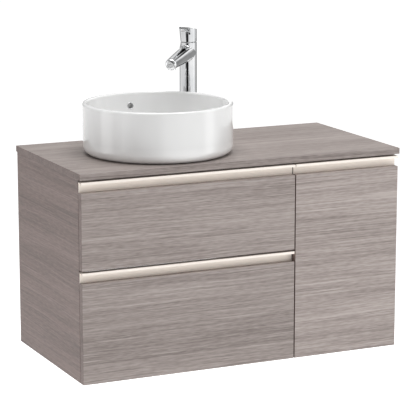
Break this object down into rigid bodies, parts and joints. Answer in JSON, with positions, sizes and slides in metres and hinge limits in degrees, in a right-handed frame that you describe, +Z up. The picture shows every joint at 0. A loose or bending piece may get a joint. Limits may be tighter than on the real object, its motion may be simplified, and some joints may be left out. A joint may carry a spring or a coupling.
{
  "type": "wall-hung vanity unit with countertop basin",
  "caption": "Wall-hung vanity with a round countertop basin, tall single-lever mixer, drawers and a side door with recessed metal grip profiles, in a wood-look finish.",
  "frame": {"origin": "centre of the four wall-plate screw holes, on the wall plane", "axes": "+X to the right seen from the front, +Y into the wall, +Z up; the fronts face -Y"},
  "size_m": [0.9, 0.46, 0.8362],
  "materials": {
    "laminate": "matt wood-grain laminate, greyish taupe ash",
    "carcass_board": "matt melamine-faced board",
    "drawer_board": "matt grey melamine",
    "champagne_profile": "satin anodised, light champagne",
    "ceramic": "gloss white glaze",
    "chrome": "bright chrome plate",
    "steel": "zinc-plated steel",
    "brass": "machined brass",
    "white_plastic": "white polypropylene",
    "seal_rubber": "soft black rubber",
    "beech": "fluted beech"
  },
  "bodies": {
    "cabinet": {"aerator_housing": "chrome", "aerator_insert": "white_plastic", "back_panel": "carcass_board", "basin": "ceramic", "basin_seal": "seal_rubber", "bottom_panel": "carcass_board", "cartridge": "white_plastic", "cartridge_nut": "brass", "countertop": "laminate", "divider_panel": "carcass_board", "dowels": "beech", "front_buffers": "seal_rubber", "hanger_brackets": "steel", "hinge_arms": "steel", "mixer_base_ring": "chrome", "mixer_body": "chrome", "mixer_nut": "brass", "mixer_shank": "brass", "mixer_spout": "chrome", "mixer_washer": "steel", "outlet_pipe": "white_plastic", "overflow_ring": "chrome", "plug_guide": "white_plastic", "rails": "carcass_board", "runner_rails": "steel", "shelf": "carcass_board", "shelf_pins": "steel", "side_panel_left": "laminate", "side_panel_right": "laminate", "trap_body": "white_plastic", "trap_cup": "white_plastic", "trap_inlet_nut": "white_plastic", "trap_inlet_pipe": "white_plastic", "trap_outlet_nut": "white_plastic", "wall_plates": "steel", "waste_body": "chrome", "waste_nut": "white_plastic", "waste_seal": "seal_rubber"},
    "upper_drawer": {"upper_front": "laminate", "upper_handle": "champagne_profile", "upper_drawer_sides": "drawer_board", "upper_drawer_backs": "drawer_board", "upper_siphon_wall": "white_plastic", "upper_drawer_bottom": "drawer_board", "upper_runner_members": "steel"},
    "upper_middle": {"upper_middle_members": "steel"},
    "lower_drawer": {"lower_front": "laminate", "lower_handle": "champagne_profile", "lower_drawer_sides": "drawer_board", "lower_drawer_back": "drawer_board", "lower_drawer_bottom": "drawer_board", "lower_runner_members": "steel"},
    "lower_middle": {"lower_middle_members": "steel"},
    "door": {"door_panel": "laminate", "door_handle": "champagne_profile", "hinge_cups": "steel"},
    "plug": {"waste_plug": "chrome"},
    "spindle": {"cartridge_spindle": "brass"},
    "lever": {"mixer_handle": "chrome", "handle_screw": "steel"}
  },
  "joints": [
    {"name": "upper_drawer_slide", "type": "slide", "parent": "cabinet", "child": "upper_drawer", "axis": [0, -1, 0], "range_m": [0, 0.33]},
    {"name": "upper_middle_slide", "type": "slide", "parent": "cabinet", "child": "upper_middle", "axis": [0, -1, 0], "range_m": [0, 0.165]},
    {"name": "lower_drawer_slide", "type": "slide", "parent": "cabinet", "child": "lower_drawer", "axis": [0, -1, 0], "range_m": [0, 0.33]},
    {"name": "lower_middle_slide", "type": "slide", "parent": "cabinet", "child": "lower_middle", "axis": [0, -1, 0], "range_m": [0, 0.165]},
    {"name": "door_hinge", "type": "hinge", "parent": "cabinet", "child": "door", "pos_m": [0.441, -0.448, -0.2], "axis": [0, 0, 1], "range_deg": [0, 105]},
    {"name": "plug_slide", "type": "slide", "parent": "cabinet", "child": "plug", "axis": [0, 0, 1], "range_m": [0, 0.008]},
    {"name": "lever_swivel", "type": "hinge", "parent": "cabinet", "child": "spindle", "pos_m": [0.023, -0.06, 0.3386], "axis": [0, 0, 1], "range_deg": [-50, 50]},
    {"name": "lever_lift", "type": "hinge", "parent": "spindle", "child": "lever", "pos_m": [0.03781, -0.04373, 0.3391], "axis": [-0.7394, 0.6733, 0], "range_deg": [0, 20]}
  ],
  "couplings": [
    {"joint": "upper_middle_slide", "follows": "upper_drawer_slide", "ratio": 0.5},
    {"joint": "lower_middle_slide", "follows": "lower_drawer_slide", "ratio": 0.5}
  ]
}
